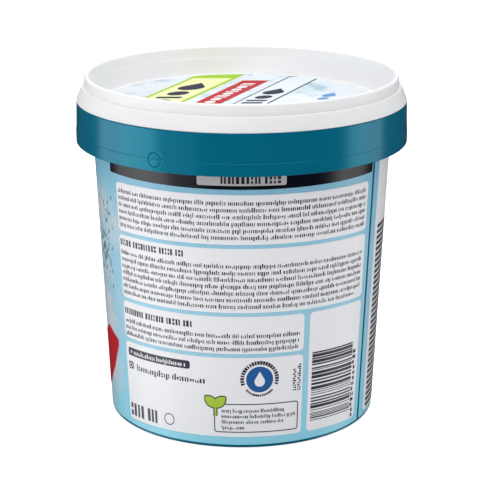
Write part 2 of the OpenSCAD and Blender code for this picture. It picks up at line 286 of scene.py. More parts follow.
def rounded_box(x0, x1, y0, y1, corner, steps=6):
    """corners of an upright rectangle with rounded corners"""
    if corner <= 0:
        return [(x0, y0), (x1, y0), (x1, y1), (x0, y1)]
    return (
        arc(x1 - corner, y0 + corner, corner, -90, 0, steps)
        + arc(x1 - corner, y1 - corner, corner, 0, 90, steps)
        + arc(x0 + corner, y1 - corner, corner, 90, 180, steps)
        + arc(x0 + corner, y0 + corner, corner, 180, 270, steps)
    )


def field(name, a0, a1, z0, z1, low, high, corner=1.8):
    """a printed field of the label, still flat"""
    outline = rounded_box(along(a0), along(a1), z0, z1, corner)
    return sliced(flat_outline(name, outline, low, high))


# Print that stands for small lettering: rows of plain strokes

STROKE_LEVELS = [-0.5, 0.0, 0.25, 0.51, 0.75, 1.01, 1.26, 1.8]
FULL = (1, 2, 3, 4, 5)
TALL = (1, 2, 3, 4, 5, 6)
DEEP = (0, 1, 2, 3, 4, 5)
SPLIT = (1, 2, 4, 5)
STROKES = [FULL] * 8 + [TALL, TALL, DEEP, SPLIT, (2, 3, 4), (1, 2, 3)]
BOLD_STROKES = [FULL] * 5 + [SPLIT]


def ink_grid(name, xs, zs, kept, low=INK_LOW, high=INK_TOP):
    """a flat print made of some cells of an uneven grid, given as column and level"""
    columns, levels = len(xs) - 1, len(zs) - 1
    deselect()
    bpy.ops.mesh.primitive_grid_add(x_subdivisions=columns, y_subdivisions=levels, size=MM)
    piece = bpy.context.object
    piece.name = name
    for vertex in piece.data.vertices:
        level, column = divmod(vertex.index, columns + 1)
        vertex.co = (xs[column] * MM, zs[level] * MM, low * MM)
    bpy.ops.object.mode_set(mode="EDIT")
    bpy.ops.mesh.select_mode(type="FACE")
    bpy.ops.mesh.select_all(action="DESELECT")
    bpy.ops.object.mode_set(mode="OBJECT")
    for face in piece.data.polygons:
        level, column = divmod(face.index, columns)
        face.select = (column, level) not in kept
    bpy.ops.object.mode_set(mode="EDIT")
    bpy.ops.mesh.delete(type="FACE")
    bpy.ops.mesh.select_mode(type="VERT")
    bpy.ops.mesh.select_all(action="SELECT")
    bpy.ops.mesh.extrude_region_move(TRANSFORM_OT_translate={"value": (0, 0, (high - low) * MM)})
    bpy.ops.object.mode_set(mode="OBJECT")
    return piece


def stroke_row(a0, a1, z, cap=1.8, bold=False, narrow=1.0, **heights):
    """one row of upright strokes between two angles, with gaps like those between words"""
    size = cap / (STROKE_LEVELS[-2] if bold else STROKE_LEVELS[-1])
    across = size * narrow
    widths = (0.42, 0.55, 0.7) if bold else (0.32, 0.4, 0.52)
    x, end = along(a0), along(a1)
    xs, kept = [x], set()
    left_in_word = ink_rng.randint(4, 16)
    while True:
        wide = ink_rng.choice(widths) * across
        if x + wide > end:
            break
        kept.update((len(xs) - 1, level) for level in ink_rng.choice(BOLD_STROKES if bold else STROKES))
        x += wide
        xs.append(x)
        left_in_word -= 1
        x += (ink_rng.choice((0.3, 0.4)) if left_in_word else 0.95) * across
        xs.append(x)
        left_in_word = left_in_word or ink_rng.randint(4, 16)
    base = z - cap / 2
    zs = [base + level * size for level in STROKE_LEVELS]
    return ink_grid("stroke_row", xs, zs, kept, **heights)


def block_row(a0, a1, z, cap=1.5):
    """one row of plain blocks, for print seen edge-on"""
    x, end = along(a0), along(a1)
    xs, kept = [x], set()
    while x < end - 0.6:
        kept.add((len(xs) - 1, 0))
        x = min(end, x + ink_rng.uniform(1.2, 4.2))
        xs.append(x)
        x += 0.35
        xs.append(x)
    return ink_grid("block_row", xs, [z - cap / 2, z + cap / 2], kept)


def mark_column(a, width, z0, z1, pitch):
    """an upright column of small blocks, some of them split"""
    x = along(a)
    xs = [x, x + 0.36 * width, x + 0.64 * width, x + width]
    zs, kept = [z0], set()
    while zs[-1] + pitch < z1:
        level = len(zs) - 1
        columns = ink_rng.choice(((0, 1, 2), (0, 2), (0, 1), (1, 2)))
        kept.update((column, level) for column in columns)
        zs += [zs[-1] + 0.64 * pitch, zs[-1] + pitch]
    return ink_grid("mark_column", xs, zs, kept)


# Shader groups


def new_group(name, inputs, outputs):
    group = bpy.data.node_groups.new(name, "ShaderNodeTree")
    for label, kind, value in inputs:
        socket = group.interface.new_socket(label, in_out="INPUT", socket_type=kind)
        socket.default_value = value
    for label, kind in outputs:
        group.interface.new_socket(label, in_out="OUTPUT", socket_type=kind)
    entry = group.nodes.new("NodeGroupInput")
    leave = group.nodes.new("NodeGroupOutput")
    return group, entry, leave


def add_node(tree, kind, **values):
    node = tree.nodes.new(kind)
    for key, value in values.items():
        if key in node.inputs:
            node.inputs[key].default_value = value
        else:
            setattr(node, key, value)
    return node


def noise(tree, coords, scale, detail=3.0, roughness=0.5):
    node = add_node(tree, "ShaderNodeTexNoise", Detail=detail, Roughness=roughness)
    tree.links.new(coords, node.inputs["Vector"])
    if isinstance(scale, (int, float)):
        node.inputs["Scale"].default_value = scale
    else:
        tree.links.new(scale, node.inputs["Scale"])
    return node.outputs["Fac"]


def math_node(tree, operation, a, b=0.0, c=None):
    node = tree.nodes.new("ShaderNodeMath")
    node.operation = operation
    for socket, value in zip(node.inputs, (a, b, c)):
        if value is None:
            continue
        if isinstance(value, (int, float)):
            socket.default_value = value
        else:
            tree.links.new(value, socket)
    return node.outputs[0]


def mixed(tree, factor, a, b, blend="MIX"):
    node = tree.nodes.new("ShaderNodeMix")
    node.data_type = "RGBA"
    node.blend_type = blend
    for socket, value in ((node.inputs[0], factor), (node.inputs[6], a), (node.inputs[7], b)):
        if hasattr(value, "links"):
            tree.links.new(value, socket)
        else:
            socket.default_value = value
    return node.outputs[2]


def spread(tree, value, low, high, to_low=0.0, to_high=1.0):
    """a value brought from one range to another, smoothly and within its ends"""
    node = add_node(tree, "ShaderNodeMapRange", interpolation_type="SMOOTHSTEP")
    tree.links.new(value, node.inputs["Value"])
    for label, number in (("From Min", low), ("From Max", high), ("To Min", to_low), ("To Max", to_high)):
        node.inputs[label].default_value = number
    return node.outputs["Result"]


def rgb(red, green, blue):
    """a colour written as it looks on screen, from 0 to 255"""
    linear = []
    for part in (red / 255, green / 255, blue / 255):
        linear.append(part / 12.92 if part <= 0.04045 else ((part + 0.055) / 1.055) ** 2.4)
    return (*linear, 1.0)


def moulded_finish():
    """soft mottling, uneven gloss and the faint ripple of a moulded or printed skin"""
    group, entry, leave = new_group(
        "moulded_finish",
        [
            ("Color", "NodeSocketColor", (1, 1, 1, 1)),
            ("Tone", "NodeSocketFloat", 0.04),
            ("Gloss", "NodeSocketFloat", 0.3),
            ("Gloss spread", "NodeSocketFloat", 0.06),
            ("Ripple scale", "NodeSocketFloat", 60.0),
        ],
        [("Color", "NodeSocketColor"), ("Roughness", "NodeSocketFloat"), ("Height", "NodeSocketFloat")],
    )
    coords = add_node(group, "ShaderNodeTexCoord").outputs["Object"]
    broad = noise(group, coords, 28.0, 4.0)
    fine = noise(group, coords, 900.0, 2.0)
    ripple = noise(group, coords, entry.outputs["Ripple scale"], 3.0)
    tone = math_node(group, "SUBTRACT", math_node(group, "ADD", broad, fine), 1.0)
    tone = math_node(group, "MULTIPLY_ADD", tone, entry.outputs["Tone"], 1.0)
    shade = add_node(group, "ShaderNodeCombineColor")
    for label in ("Red", "Green", "Blue"):
        group.links.new(tone, shade.inputs[label])
    tinted = mixed(group, 1.0, entry.outputs["Color"], shade.outputs["Color"], "MULTIPLY")
    group.links.new(tinted, leave.inputs["Color"])
    uneven = math_node(group, "SUBTRACT", ripple, 0.5)
    rough = math_node(group, "MULTIPLY_ADD", uneven, entry.outputs["Gloss spread"], entry.outputs["Gloss"])
    group.links.new(rough, leave.inputs["Roughness"])
    height = math_node(group, "MULTIPLY_ADD", fine, 0.25, ripple)
    group.links.new(height, leave.inputs["Height"])
    return group


MOULDED = moulded_finish()


def finish_material(
    name, color, tone=0.04, gloss=0.3, gloss_spread=0.06, ripple=60.0, bump=0.02, specular=0.4
):
    """a principled material whose colour, gloss and bump come from the shared finish group"""
    material = bpy.data.materials.new(name)
    material.use_nodes = True
    tree = material.node_tree
    tree.nodes.clear()
    out = add_node(tree, "ShaderNodeOutputMaterial")
    shader = add_node(tree, "ShaderNodeBsdfPrincipled")
    shader.inputs["Specular IOR Level"].default_value = specular
    tree.links.new(shader.outputs["BSDF"], out.inputs["Surface"])
    finish = add_node(tree, "ShaderNodeGroup", node_tree=MOULDED)
    finish.inputs["Color"].default_value = color
    finish.inputs["Tone"].default_value = tone
    finish.inputs["Gloss"].default_value = gloss
    finish.inputs["Gloss spread"].default_value = gloss_spread
    finish.inputs["Ripple scale"].default_value = ripple
    bumped = add_node(tree, "ShaderNodeBump", Strength=bump, Distance=0.0005)
    tree.links.new(finish.outputs["Height"], bumped.inputs["Height"])
    tree.links.new(finish.outputs["Color"], shader.inputs["Base Color"])
    tree.links.new(finish.outputs["Roughness"], shader.inputs["Roughness"])
    tree.links.new(bumped.outputs["Normal"], shader.inputs["Normal"])
    return material, tree, finish, shader


def plain_finish(name, color, **values):
    return finish_material(name, color, **values)[0]


# Materials of the pack

TEAL = rgb(0, 100, 128)
# film blues by height: partly the print's own gradient, partly painted light and shade (darker towards the
# top, lighter lower down)
SKY_LOW = rgb(146, 216, 236)
SKY = rgb(158, 207, 227)
SKY_HIGH = rgb(136, 194, 219)
SKY_PALE = rgb(170, 206, 220)
SPLASH = rgb(208, 214, 220)
PAPER = rgb(239, 239, 242)
NAVY = rgb(10, 14, 30)
TEXT = rgb(42, 44, 60)
RED = rgb(190, 26, 34)
LIME = rgb(170, 206, 60)
BLUE = rgb(28, 92, 158)
# badge plate: its own pale grey, darkened further as painted shade from the collar above it
PLATE_AND_PAINTED_SHADE = rgb(196, 194, 194)
SCOOP_BLUE = rgb(96, 156, 196)
# lid colours with painted light and shade: lighter inside the crest ring, darker outside it
LID_DISH_PAINTED_LIGHT = rgb(251, 250, 251)
LID_OUTER_PAINTED_SHADE = rgb(241, 241, 242)


def film_material():
    """printed film: blue that changes a little with height, partly the print's own gradient and partly
    painted light and shade, and a pale splash on its left side
    """
    material, tree, finish, shader = finish_material(
        "label_film", SKY, tone=0.05, gloss=0.26, gloss_spread=0.05, ripple=45.0, bump=0.015
    )
    coords = add_node(tree, "ShaderNodeTexCoord").outputs["Object"]
    split = add_node(tree, "ShaderNodeSeparateXYZ")
    tree.links.new(coords, split.inputs[0])
    height = split.outputs["Z"]
    low = spread(tree, height, 0, 0.35 * FILM_TOP * MM)
    high = spread(tree, height, 0.55 * FILM_TOP * MM, FILM_TOP * MM)
    # painted light and shade by height, mixed with the print's own gradient: darker at the top, lighter
    # lower down
    print_and_painted_light_by_height = mixed(tree, high, mixed(tree, low, SKY_LOW, SKY), SKY_HIGH)
    wash = noise(tree, coords, 38.0, 5.0, 0.62)
    swirl = math_node(tree, "MULTIPLY_ADD", wash, 0.03, split.outputs["X"])
    left = spread(tree, swirl, -0.031, -0.0405)
    behind = math_node(tree, "MULTIPLY_ADD", wash, 0.08, split.outputs["Y"])
    front = spread(tree, behind, 0.062, 0.03)
    below = spread(tree, height, 0.104, 0.088)
    patches = spread(tree, noise(tree, coords, 85.0, 4.0, 0.6), 0.36, 0.56)
    splash = math_node(tree, "MULTIPLY", math_node(tree, "MULTIPLY", left, front), below)
    pale = mixed(tree, splash, print_and_painted_light_by_height, SKY_PALE)
    milk = math_node(tree, "MULTIPLY", splash, patches)
    tree.links.new(mixed(tree, milk, pale, SPLASH), finish.inputs["Color"])
    return material


def lid_film_material():
    """printed disc: pale water with soft rings and ripples"""
    material, tree, finish, shader = finish_material(
        "lid_film", rgb(228, 238, 243), tone=0.05, gloss=0.22, gloss_spread=0.05, ripple=45.0, bump=0.015
    )
    coords = add_node(tree, "ShaderNodeTexCoord").outputs["Object"]
    warp = noise(tree, coords, 55.0, 4.0, 0.6)
    ripples = add_node(tree, "ShaderNodeTexWave", wave_type="RINGS", rings_direction="Z")
    ripples.inputs["Scale"].default_value = 26.0
    ripples.inputs["Distortion"].default_value = 9.0
    ripples.inputs["Detail"].default_value = 3.0
    ripples.inputs["Detail Scale"].default_value = 1.6
    tree.links.new(coords, ripples.inputs["Vector"])
    crest = spread(tree, ripples.outputs["Fac"], 0.62, 0.95)
    patch = spread(tree, warp, 0.44, 0.64)
    mask = math_node(tree, "MULTIPLY", crest, patch)
    water = mixed(tree, patch, rgb(221, 229, 235), rgb(197, 216, 226))
    tree.links.new(mixed(tree, mask, water, rgb(150, 190, 206)), finish.inputs["Color"])
    return material


def powder_material():
    """white powder with coarse grains and a few blue ones"""
    material, tree, finish, shader = finish_material(
        "powder", rgb(238, 239, 238),
        tone=0.1, gloss=0.9, gloss_spread=0.05, ripple=700.0, bump=0.6, specular=0.2,
    )
    coords = add_node(tree, "ShaderNodeTexCoord").outputs["Object"]
    grains = add_node(tree, "ShaderNodeTexVoronoi", feature="F1")
    grains.inputs["Scale"].default_value = 900.0
    tree.links.new(coords, grains.inputs["Vector"])
    cell = add_node(tree, "ShaderNodeSeparateColor")
    tree.links.new(grains.outputs["Color"], cell.inputs[0])
    shade = mixed(tree, cell.outputs["Red"], rgb(224, 226, 228), rgb(247, 247, 245))
    rare = spread(tree, cell.outputs["Green"], 0.975, 0.985)
    tree.links.new(mixed(tree, rare, shade, rgb(120, 170, 205)), finish.inputs["Color"])
    return material


def tub_material():
    """glossy teal plastic whose reflections take some of its colour"""
    material, tree, finish, shader = finish_material(
        "tub_plastic", TEAL, tone=0.05, gloss=0.22, gloss_spread=0.06, ripple=55.0, bump=0.015, specular=0.7
    )
    shader.inputs["Specular Tint"].default_value = (0.14, 0.85, 1.0, 1.0)
    return material


def lid_material():
    """thin white plastic that lets some light in, with painted light making it lighter inside the crest
    ring and painted shade making it a little darker outside it over the rim
    """
    material, tree, finish, shader = finish_material(
        "lid_plastic", LID_DISH_PAINTED_LIGHT, tone=0.02, gloss=0.36, gloss_spread=0.06, ripple=50.0, bump=0.02
    )
    coords = add_node(tree, "ShaderNodeTexCoord").outputs["Object"]
    split = add_node(tree, "ShaderNodeSeparateXYZ")
    tree.links.new(coords, split.inputs[0])
    across = math_node(tree, "MULTIPLY", split.outputs["X"], split.outputs["X"])
    along_y = math_node(tree, "MULTIPLY", split.outputs["Y"], split.outputs["Y"])
    radius = math_node(tree, "SQRT", math_node(tree, "ADD", across, along_y))
    # painted light and shade: the lid is coloured lighter inside the crest ring and darker outside it
    outer_painted_shade = spread(tree, radius, (CREST_IN + 0.4) * MM, (NECK_R - 0.4) * MM)
    tree.links.new(mixed(tree, outer_painted_shade, LID_DISH_PAINTED_LIGHT, LID_OUTER_PAINTED_SHADE), finish.inputs["Color"])
    shader.inputs["Subsurface Weight"].default_value = 0.25
    shader.inputs["Subsurface Radius"].default_value = (1.0, 1.0, 1.0)
    shader.inputs["Subsurface Scale"].default_value = 0.003
    return material


TUB_PLASTIC = tub_material()
LID_PLASTIC = lid_material()
SCOOP_PLASTIC = plain_finish("scoop_plastic", SCOOP_BLUE, tone=0.03, gloss=0.3, ripple=70.0, bump=0.03)
PRINT = {
    "white": plain_finish("print_white", PAPER, tone=0.02, gloss=0.3, bump=0.015),
    "navy": plain_finish("print_navy", NAVY, tone=0.05, gloss=0.26, bump=0.015),
    "grey": plain_finish("print_grey", TEXT, tone=0.08, gloss=0.34, bump=0.015),
    "red": plain_finish("print_red", RED, tone=0.05, gloss=0.3, bump=0.015),
    "blue": plain_finish("print_blue", BLUE, tone=0.08, gloss=0.3, bump=0.015),
    "lime": plain_finish("print_lime", LIME, tone=0.06, gloss=0.3, bump=0.015),
    "plate": plain_finish("print_plate_and_painted_shade", PLATE_AND_PAINTED_SHADE, tone=0.04, gloss=0.34, bump=0.015),
}
LID_PRINT = {
    name: plain_finish("lid_print_" + name, color, tone=0.06, gloss=0.6, bump=0.02, specular=0.15)
    for name, color in (
        ("lime", rgb(160, 204, 40)), ("red", rgb(190, 22, 32)), ("navy", rgb(30, 34, 66)),
        ("white", PAPER), ("yellow", rgb(234, 236, 176)), ("water", rgb(222, 231, 237)),
        ("pale_blue", rgb(84, 150, 204)),
    )
}
LABEL_FILM = film_material()
LID_FILM = lid_film_material()
POWDER = powder_material()


def dressed(piece, material, slot, body, *nodes):
    """gives a finished piece its material and body and hides the nodes that it stands for; its slot is not
    used
    """
    piece.data.materials.clear()
    piece.data.materials.append(material)
    for polygon in piece.data.polygons:
        polygon.material_index = 0
    if nodes:
        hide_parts(*nodes)
    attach(piece, body)
    return piece


# Tub


def tub_outline():
    heel = 1.2
    edge = 0.35
    bed = FILM_T + FILM_FIT
    bed_low, bed_top = FILM_LOW - FILM_FIT, FILM_TOP + FILM_FIT
    bend_z = LEDGE_Z - COLLAR_T
    foot_in = BASE_R - 2.2
    inner = 2.4
    bead_low, bead_high = RIM_Z - 2, RIM_Z - 0.8
    bead_r = rim_in(bead_high) + 1.9
    corner_r = wall_r(FLOOR_Z + inner) - TUB_T - inner
    return (
        [(0, FOOT_H + 0.4), (4, FOOT_H + 0.4), (4, FOOT_H)]
        + [(foot_in - 0.6, FOOT_H), (foot_in, 0.3), (foot_in + 0.3, 0)]
        + arc(wall_r(heel) - heel, heel, heel, -90, 0, 6)
        + [(wall_r(bed_low), bed_low), (wall_r(bed_low) - bed, bed_low)]
        + [(wall_r(z) - bed, z) for z in (20, 40, 60, 80, 100, bed_top)]
        + [(wall_r(bed_top), bed_top), (wall_r(bend_z), bend_z), (skirt_r(bend_z) - COLLAR_T, bend_z)]
        + [(SKIRT_R - COLLAR_T, SKIRT_Z + edge), (SKIRT_R - COLLAR_T + edge, SKIRT_Z)]
        + arc(SKIRT_R - edge, SKIRT_Z + edge, edge, -90, 0, 4)
        + [(skirt_face(z), z) for z in (SKIRT_Z + 0.6, MARK_LOW, WITNESS_Z - 0.16, WITNESS_Z - 0.12)]
        + [(skirt_face(z), z) for z in (WITNESS_Z, WITNESS_Z + 0.04, MARK_HIGH, LEDGE_Z - 4, LEDGE_Z - 0.6)]
        + arc(COLLAR_R - edge, LEDGE_Z - edge, edge, 0, 90, 4)
        + [(rim_in(LEDGE_Z) + 1.3, LEDGE_Z), (rim_in(LEDGE_Z + 0.4) + 1, LEDGE_Z + 0.4)]
        + [(rim_in(bead_low) + 1, bead_low), (bead_r - 0.1, bead_low + 0.7), (bead_r, bead_high)]
        + [(rim_in(RIM_Z) + 1, RIM_Z), (rim_in(RIM_Z) + 0.25, RIM_Z)]
        + [(rim_in(RIM_Z - 0.3), RIM_Z - 0.3), (rim_in(LEDGE_Z), LEDGE_Z)]
        + [(wall_r(bend_z - 2) - TUB_T, bend_z - 2)]
        + arc(corner_r, FLOOR_Z + inner, inner, 0, -90, 6)
        + [(0, FLOOR_Z)]
    )


def skirt_rib(index):
    """stiffening rib between the wall and the collar's skirt"""
    top = LEDGE_Z - COLLAR_T + 0.3
    low = SKIRT_Z + 4.5
    half = 0.45
    corners = [
        (wall_r(low) - TUB_T / 2, low), (skirt_r(low) - COLLAR_T / 2, low + 2),
        (skirt_r(top) - COLLAR_T / 2, top), (wall_r(top) - TUB_T / 2, top),
    ]
    rib = flat_outline("skirt_rib", corners, -half, half)
    turn = math.radians((index + 0.5) * 360 / RIB_COUNT)
    for vertex in rib.data.vertices:
        r, z, across = vertex.co
        vertex.co = (
            r * math.sin(turn) + across * math.cos(turn),
            -r * math.cos(turn) + across * math.sin(turn),
            z,
        )
    return closed_up(rib)


def round_mark(shell, angle):
    """sinks the ring of a blanked-off handle boss into the skirt"""
    ring_w = 0.4
    depth = 0.18
    reach = 4.2
    turn = math.radians(angle)
    side = Vector((math.cos(turn), math.sin(turn), 0))
    out = Vector((math.sin(turn), -math.cos(turn), 0))

    def on_skirt(point):
        z = point.z / MM
        near = MARK_LOW - 0.01 < z < MARK_HIGH + 0.01 and point.dot(out) > 0
        return near and point.xy.length / MM > skirt_r(z) - 0.4 and abs(point.dot(side)) / MM < reach + 2

    pick(shell)
    bpy.ops.object.mode_set(mode="EDIT")
    bpy.ops.mesh.select_mode(type="FACE")
    bpy.ops.mesh.select_all(action="DESELECT")
    bpy.ops.object.mode_set(mode="OBJECT")
    for face in shell.data.polygons:
        face.select = on_skirt(face.center) and abs(face.center.dot(side)) / MM < reach
    bpy.ops.object.mode_set(mode="EDIT")
    bpy.ops.mesh.subdivide(number_cuts=5)
    bpy.ops.mesh.subdivide(number_cuts=2)
    bpy.ops.object.mode_set(mode="OBJECT")
    for vertex in shell.data.vertices:
        if not on_skirt(vertex.co):
            continue
        across, z = vertex.co.dot(side) / MM, vertex.co.z / MM
        off_ring = abs(math.hypot(across, z - MARK_Z) - MARK_R)
        sunk = depth * (0.5 + 0.5 * math.cos(math.pi * min(1, off_ring / ring_w)))
        scale = (skirt_face(z) - sunk) * MM / vertex.co.xy.length
        vertex.co = (vertex.co.x * scale, vertex.co.y * scale, vertex.co.z)
    return shell


def make_tub():
    shell = spun("tub_shell", tub_outline())
    for angle in (MARK_ANGLE, MARK_ANGLE + 180):
        round_mark(shell, angle)
    seam = flat_outline(
        "seam_strip",
        rounded_box(along(SEAM_A) - SEAM_W / 2, along(SEAM_A) + SEAM_W / 2, FILM_LOW, FILM_TOP, 0),
        -0.3,
        0.0,
    )
    on_wall(seam, bow=0)
    ribs = [skirt_rib(i) for i in range(RIB_COUNT)]
    tub = smooth(joined("tub", [shell, seam, *ribs]))
    return dressed(tub, TUB_PLASTIC, "tub_plastic", "tub", "tub")


# Label


def make_film():
    half = math.degrees((SEAM_W / 2 + FILM_FIT) / wall_r(LEDGE_Z / 2))
    levels = [FILM_LOW + (FILM_TOP - FILM_LOW) * i / 12 for i in range(13)]
    outline = [(wall_r(z), z) for z in levels]
    film = spun("wrap_label", outline, steps=SPIN_STEPS, start=SEAM_A + half, sweep=360 - 2 * half)
    apply_modifier(film, "SOLIDIFY", thickness=FILM_T * MM, offset=-1)
    return dressed(smooth(film, 30), LABEL_FILM, "label_film", "tub", "wrap_label")


def make_panels():
    low, high = FIRST_LAYER
    # the badge's plate colour is its own pale grey plus painted shade from the collar above
    badge = field("badge", -16.4, 16.4, BAND_Z + 1.5, FILM_TOP - 1.3, INK_LOW, 0.17, 0.8)
    dressed(smooth(on_wall(badge), 30), PRINT["plate"], "print_white", "tub")
    fields = [
        field("text_panel", PANEL_LEFT, NARROW_RIGHT, LOW_Z, LOW_Z + 33.25, low, high),
        field("text_panel", PANEL_LEFT, NARROW_RIGHT, SMALL_Z, SMALL_Z + 15.3, low, high),
        field("text_panel", PANEL_LEFT, PANEL_RIGHT, RULES_Z, RULES_Z + 25.8, low, high),
        field("text_panel", PANEL_LEFT, PANEL_RIGHT, INTRO_Z, BAND_Z - 2.1, low, high),
        field("bar_panel", BAR_PANEL_LEFT, PANEL_RIGHT, LOW_Z, RULES_Z - 1.65, low, high),
        field("side_panel", SIDE_LEFT, SIDE_RIGHT, FILM_LOW + 3, FILM_TOP - 1, low, high),
    ]
    panels = smooth(on_wall(joined("label_panels", fields)), 30)
    return dressed(panels, PRINT["white"], "print_white", "tub", "label_panels")


def make_band():
    band = field("label_navy", PANEL_LEFT - 3.9, SEAM_A - 1.6, BAND_Z, FILM_TOP - 0.3, *FIRST_LAYER, 0)
    return dressed(smooth(on_wall(band, bow=0), 30), PRINT["navy"], "print_navy", "tub", "label_navy")


def make_grey_print():
    """bars of uneven thickness, the rounded caption bar and the note box's outline"""
    low, high = INK_LAYER
    bar_rng = random.Random(8)
    bars_top = LOW_Z + 33.5
    bar_z, unit = LOW_Z + 4.2, 0.31
    parts = []
    while bar_z < bars_top - unit:
        next_z = min(bar_z + unit * bar_rng.choice((1, 1, 2, 2, 3, 4)), bars_top)
        parts.append(field("bar", BAR_PANEL_LEFT + 1.6, PANEL_RIGHT - 4.3, bar_z, next_z, low, high, 0))
        bar_z = next_z + unit * bar_rng.choice((1, 1, 2, 2, 3))
    caption_z = LOW_Z + 27.5
    parts.append(field("caption_bar", PANEL_LEFT + 1.7, -21.1, caption_z, caption_z + 3.4, low, high, 0.9))
    box = flat_outline(
        "note_box", rounded_box(along(-11.3), along(23.6), LOW_Z + 1.8, LOW_Z + 14, 1.2), low, high
    )
    pick(box)
    bpy.ops.object.mode_set(mode="EDIT")
    bpy.ops.mesh.select_mode(type="FACE")
    bpy.ops.mesh.select_all(action="DESELECT")
    bpy.ops.object.mode_set(mode="OBJECT")
    for face in box.data.polygons:
        face.select = abs(face.normal.z) > 0.9
    bpy.ops.object.mode_set(mode="EDIT")
    bpy.ops.mesh.inset(thickness=0.4 * MM)
    bpy.ops.mesh.bridge_edge_loops()
    bpy.ops.object.mode_set(mode="OBJECT")
    parts.append(sliced(box))
    grey = smooth(on_wall(joined("label_grey", parts)), 30)
    return dressed(grey, PRINT["grey"], "print_grey", "tub", "label_grey")


def make_pennant():
    right_side = [(-62.2, 35.2), (-62.2, 32.6), (-68.5, 21.7), (-79.1, 10.5)]
    left_side = [(-90, 10.5), (-90, 30), (-73.1, 38.4)]
    corners = [(along(a), z) for a, z in right_side + left_side]
    pennant = sliced(flat_outline("label_red", corners, *FIRST_LAYER))
    return dressed(smooth(on_wall(pennant, bow=0), 30), PRINT["red"], "print_red", "tub", "label_red")


def make_disc():
    """round mark with a drop left open in it"""
    x, z = along(ROUND_SIGN_A), ROUND_SIGN_Z
    drop_r = 2.1
    drop_z = z - 0.9
    tip = z + 3.4
    low, high = INK_LAYER
    disc = flat_outline("label_blue", arc(x, z, ROUND_SIGN_R, 0, 360 * 47 / 48, 47), low, high)
    drop = [(x, tip)] + arc(x, drop_z, drop_r, 155, 385, 24)
    cutter = flat_outline("drop_cutter", drop, low - 1, high + 1)
    apply_modifier(disc, "BOOLEAN", object=cutter, operation="DIFFERENCE", solver="EXACT")
    bpy.data.objects.remove(cutter)
    return dressed(smooth(on_wall(sliced(disc)), 30), PRINT["blue"], "print_blue", "tub", "label_blue")


def leaf_outline(x, z, side, grown):
    """one leaf, made of two arcs that meet in points"""
    round_r, sink, turn, reach = 3.8 + grown, 1.9, 48, 2.2
    half = math.degrees(math.acos(sink / round_r))
    points = arc(-sink, 0, round_r, -half, half, 12)
    points += arc(sink, 0, round_r, 180 - half, 180 + half, 12)[:-1]
    lean = math.radians(side * turn)
    across, up = (math.cos(lean), -math.sin(lean)), (math.sin(lean), math.cos(lean))
    spots = []
    for u, v in points:
        if (u, v) in spots[-1:]:
            continue
        v += reach
        spots.append((x + u * across[0] + v * up[0], z + v * up[1] + u * across[1]))
    return spots


def make_sprout():
    """two leaves on a stem"""
    x, z = along(-10.7), LOW_Z + 13.1
    low, high = TOP_LAYER
    for name, grown, color in (("label_lime", 0, "lime"), ("sprout_edge", 0.45, "grey")):
        top = high - (0.02 if grown else 0)
        parts = [flat_outline("leaf", leaf_outline(x, z, side, grown), low, top) for side in (-1, 1)]
        half = 0.4 + grown
        parts.append(flat_outline("stem", rounded_box(x - half, x + half, z - 4.4, z + 0.6, 0), low, top))
        sprout = smooth(on_wall(sliced(joined(name, parts), 0.5)), 30)
        dressed(sprout, PRINT[color], "print_" + color, "tub", *([] if grown else ["label_lime"]))


def ring_outline(x, z, r, line):
    """a thin ring, open by a hair's breadth at its side"""
    return arc(x, z, r, 3, 357, 36) + arc(x, z, r - line, 357, 3, 36)


def make_small_print():
    """rows of strokes on the panels"""
    pitch = 2.72
    heading = dict(cap=2.5, bold=True, narrow=0.75)
    rows = [stroke_row(-54.2, 54.6, 100.6 - pitch * i) for i in range(6)]
    rows.append(stroke_row(-54.4, -21.6, 79.6, **heading))
    rows += [stroke_row(-54.2, 50.5 if i == 6 else 54.2, 75.6 - pitch * i) for i in range(7)]
    rows.append(stroke_row(-54.4, -19.0, 51.2, **heading))
    rows += [stroke_row(-54.2, 23.8, 47.3 - 2.7 * i) for i in range(3)]
    rows.append(stroke_row(-48.2, -14.8, 28.2, cap=2.6))
    for i, end in enumerate((17.5, 22.3, 17.8, 1.5)):
        rows.append(stroke_row(-8.2, end, 16.0 - 2.37 * i, cap=1.6))
    dressed(smooth(on_wall(joined("small_print", rows)), 30), PRINT["grey"], "print_grey", "tub")


def make_side_print():
    """blocks on the side panel, seen almost edge-on from the front"""
    count, pitch, first_z = 33, 2.38, 82.4
    rows = [block_row(SIDE_LEFT + 2.6, SIDE_RIGHT - 2.5, first_z - pitch * i) for i in range(count)]
    dressed(smooth(on_wall(joined("side_print", rows)), 30), PRINT["grey"], "print_grey", "tub")


